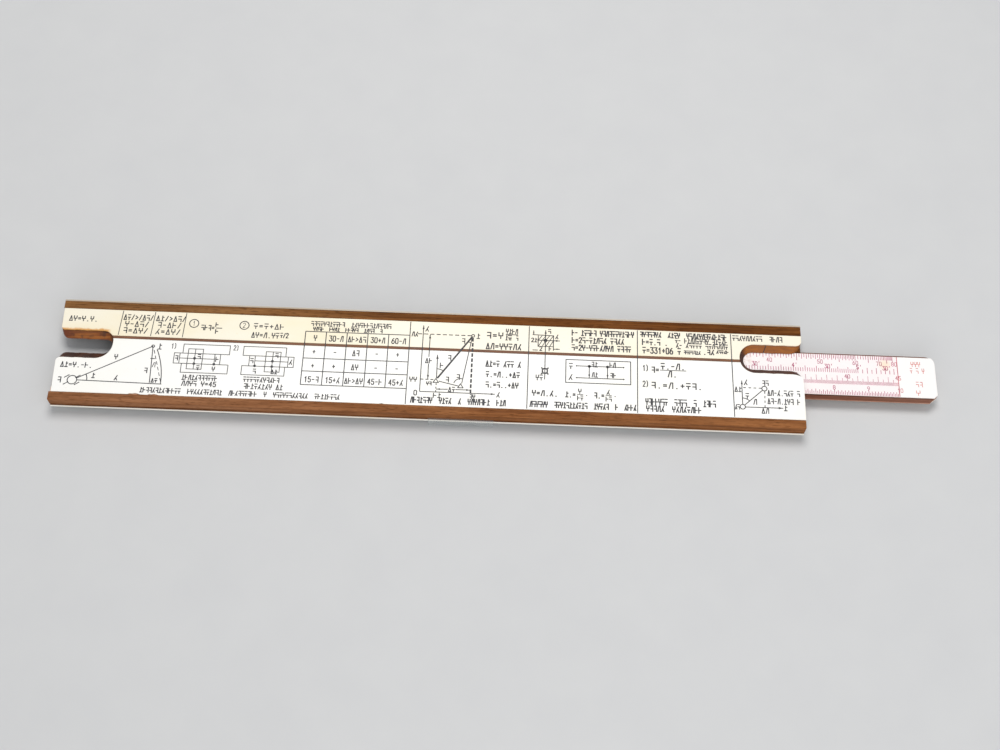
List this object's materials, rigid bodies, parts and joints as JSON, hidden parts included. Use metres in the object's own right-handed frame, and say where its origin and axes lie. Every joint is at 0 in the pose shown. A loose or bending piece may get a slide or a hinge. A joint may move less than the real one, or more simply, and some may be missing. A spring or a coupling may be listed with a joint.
{
  "type": "slide rule",
  "caption": "Flat wooden slide rule with celluloid faces, a centre slide on side tongues, bevelled notches in its back for reading the slide's reverse, and a clear hairline cursor.",
  "frame": {"origin": "centre of the stock's back face, on the lower back veneer", "axes": "+X along the rule towards the end that the slide is drawn out of, +Y across it towards the side with the celluloid edge strip, +Z out of the back face"},
  "size_m": [0.3283, 0.0442, 0.0082],
  "materials": {
    "stained_wood": "oiled, straight grain along the rule",
    "slide_wood": "oiled, straight grain along the rule",
    "cream_celluloid": "satin, yellowed at its cut edges",
    "white_celluloid": "satin",
    "slide_celluloid": "satin",
    "clear_acrylic": "polished",
    "screw_steel": "turned",
    "spring_bronze": "rolled strip"
  },
  "bodies": {
    "stock": {"upper_rail": "stained_wood", "lower_rail": "stained_wood", "back_plate": "stained_wood", "inlay_strip": "stained_wood", "back_veneer_upper": "cream_celluloid", "back_veneer_lower": "white_celluloid", "front_veneer_upper": "white_celluloid", "front_veneer_lower": "white_celluloid", "edge_veneer_north": "white_celluloid"},
    "slide": {"slide_core": "slide_wood", "slide_back_veneer": "slide_celluloid", "slide_front_veneer": "white_celluloid"},
    "cursor": {"cursor_window": "clear_acrylic", "cursor_runner_north": "clear_acrylic", "cursor_runner_south": "clear_acrylic", "cursor_spring": "spring_bronze", "cursor_screw_1": "screw_steel", "cursor_screw_2": "screw_steel", "cursor_screw_3": "screw_steel", "cursor_screw_4": "screw_steel"}
  },
  "joints": [
    {"name": "slide_travel", "type": "slide", "parent": "stock", "child": "slide", "axis": [1, 0, 0], "range_m": [-0.3, 0.2]},
    {"name": "cursor_travel", "type": "slide", "parent": "stock", "child": "cursor", "axis": [1, 0, 0], "range_m": [-0.139, 0.114]}
  ]
}
